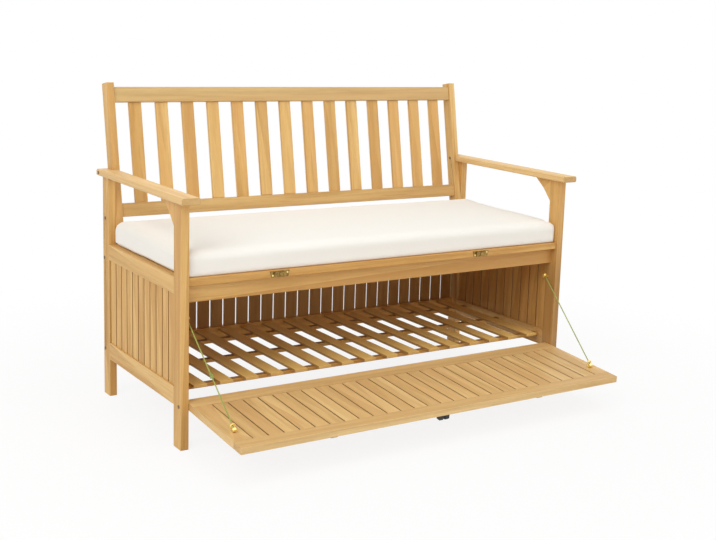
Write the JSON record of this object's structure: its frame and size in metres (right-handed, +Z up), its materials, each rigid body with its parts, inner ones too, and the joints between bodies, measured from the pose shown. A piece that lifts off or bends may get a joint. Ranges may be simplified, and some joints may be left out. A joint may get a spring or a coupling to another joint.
{
  "type": "garden storage bench",
  "caption": "Slatted wooden garden bench with armrests, a loose seat cushion and a storage space under the seat behind a drop-front door held by stay cords and shut by turn-button latches",
  "frame": {"origin": "on the ground, under the middle of the whole bench with its door open", "axes": "X along the bench from left to right as seen from the front, Y from front to rear, Z up"},
  "size_m": [1.2008, 0.8476, 0.84],
  "materials": {
    "wood": "clear satin stain on hardwood",
    "bolt": "browned steel",
    "brass": "aged brass",
    "cord": "twisted olive cord",
    "pull": "matt black",
    "cushion": "woven cream cover"
  },
  "bodies": {
    "frame": {"front_leg_left": "wood", "front_leg_right": "wood", "rear_leg_left": "wood", "rear_leg_right": "wood", "armrest_left": "wood", "armrest_right": "wood", "arm_bracket_left": "wood", "arm_bracket_right": "wood", "side_top_rail_left": "wood", "side_top_rail_right": "wood", "side_bottom_rail_left": "wood", "side_bottom_rail_right": "wood", "side_slats_left": "wood", "side_slats_right": "wood", "rear_top_rail": "wood", "rear_bottom_rail": "wood", "rear_slats": "wood", "front_apron": "wood", "seat_front_strip": "wood", "seat_boards": "wood", "seat_cleat_left": "wood", "seat_cleat_right": "wood", "seat_bearers": "wood", "floor_battens": "wood", "floor_slats": "wood", "back_stile_left": "wood", "back_stile_right": "wood", "back_top_rail": "wood", "back_bottom_rail": "wood", "back_slats": "wood", "frame_bolts": "bolt", "pivot_bolts": "bolt", "leg_eyes": "brass", "stay_cord_left": "cord", "stay_cord_right": "cord", "latch_plates": "brass", "latch_studs": "brass", "latch_screws": "brass"},
    "door": {"door_hinge_rail": "wood", "door_free_rail": "wood", "door_stile_left": "wood", "door_stile_right": "wood", "door_slats": "wood", "door_eyes": "brass", "door_keepers": "brass", "door_pull": "pull"},
    "latch_left": {"latch_button_left": "brass"},
    "latch_right": {"latch_button_right": "brass"},
    "cushion": {"cushion": "cushion"}
  },
  "joints": [
    {"name": "door_hinge", "type": "hinge", "parent": "frame", "child": "door", "pos_m": [0, -0.13339, 0.106], "axis": [-1, 0, 0], "range_deg": [0, 94], "deforming": ["stay_cord_left", "stay_cord_right"]},
    {"name": "latch_left_turn", "type": "hinge", "parent": "frame", "child": "latch_left", "pos_m": [-0.3275, -0.1453, 0.408], "axis": [0, 1, 0], "range_deg": [0, 90]},
    {"name": "latch_right_turn", "type": "hinge", "parent": "frame", "child": "latch_right", "pos_m": [0.2925, -0.1453, 0.408], "axis": [0, 1, 0], "range_deg": [0, 90]},
    {"name": "cushion_lift", "type": "slide", "parent": "frame", "child": "cushion", "axis": [0, 0, 1], "range_m": [0, 0.06]}
  ]
}
